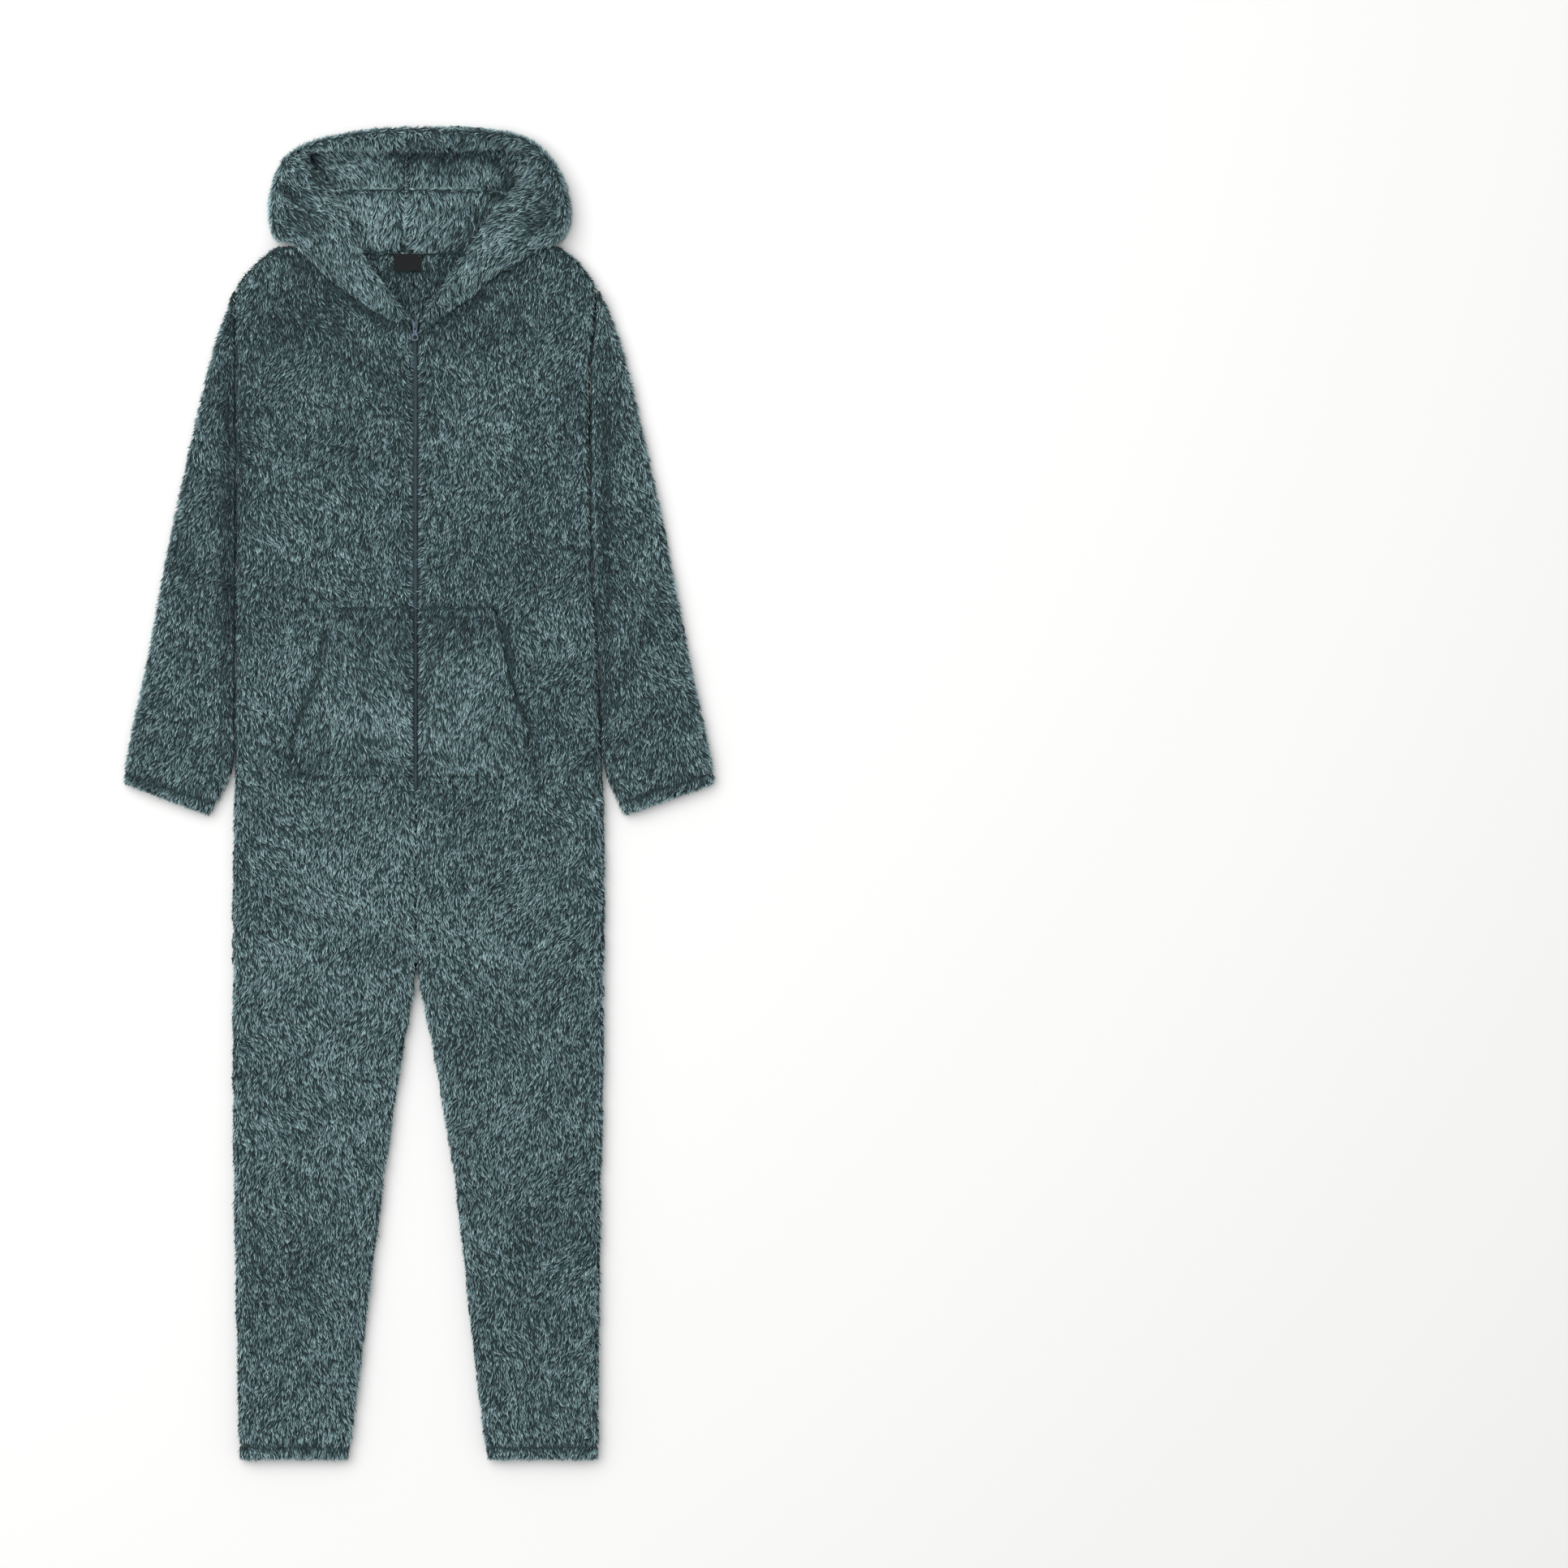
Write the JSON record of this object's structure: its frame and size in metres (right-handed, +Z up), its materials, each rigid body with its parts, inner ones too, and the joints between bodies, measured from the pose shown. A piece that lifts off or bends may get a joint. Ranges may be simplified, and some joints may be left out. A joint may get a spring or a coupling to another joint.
{
  "type": "onesie pajama",
  "caption": "Hooded onesie pajama in long-pile fleece with a centre zip and a split kangaroo pocket, laid out flat on its back.",
  "frame": {"origin": "on the surface the garment lies on, under the centre of its bounding box", "axes": "+Y from the ankle hems towards the hood, +Z up out of the surface, +X towards the wearer's left"},
  "size_m": [0.7818, 1.761, 0.0533],
  "materials": {
    "fleece": "long-pile polyester fleece, teal grey",
    "zip_tape": "woven polyester tape",
    "zip_coil": "nylon coil",
    "zip_metal": "satin paint over zinc alloy",
    "label": "woven satin, bare"
  },
  "bodies": {
    "garment": {"front_left": "fleece", "front_right": "fleece", "back_left": "fleece", "back_right": "fleece", "sleeve_left": "fleece", "sleeve_right": "fleece", "hood_left": "fleece", "hood_right": "fleece", "pocket_left": "fleece", "pocket_right": "fleece", "zip_tape_left": "zip_tape", "zip_tape_right": "zip_tape", "zip_coil": "zip_coil", "zip_slider": "zip_metal", "neck_label": "label"},
    "pull_tab": {"zip_pull_tab": "zip_metal"}
  },
  "joints": [
    {"name": "pull_tab_hinge", "type": "hinge", "parent": "garment", "child": "pull_tab", "pos_m": [-0.00402, 0.61547, 0.03396], "axis": [-1, 0, 0], "range_deg": [0, 160]}
  ]
}
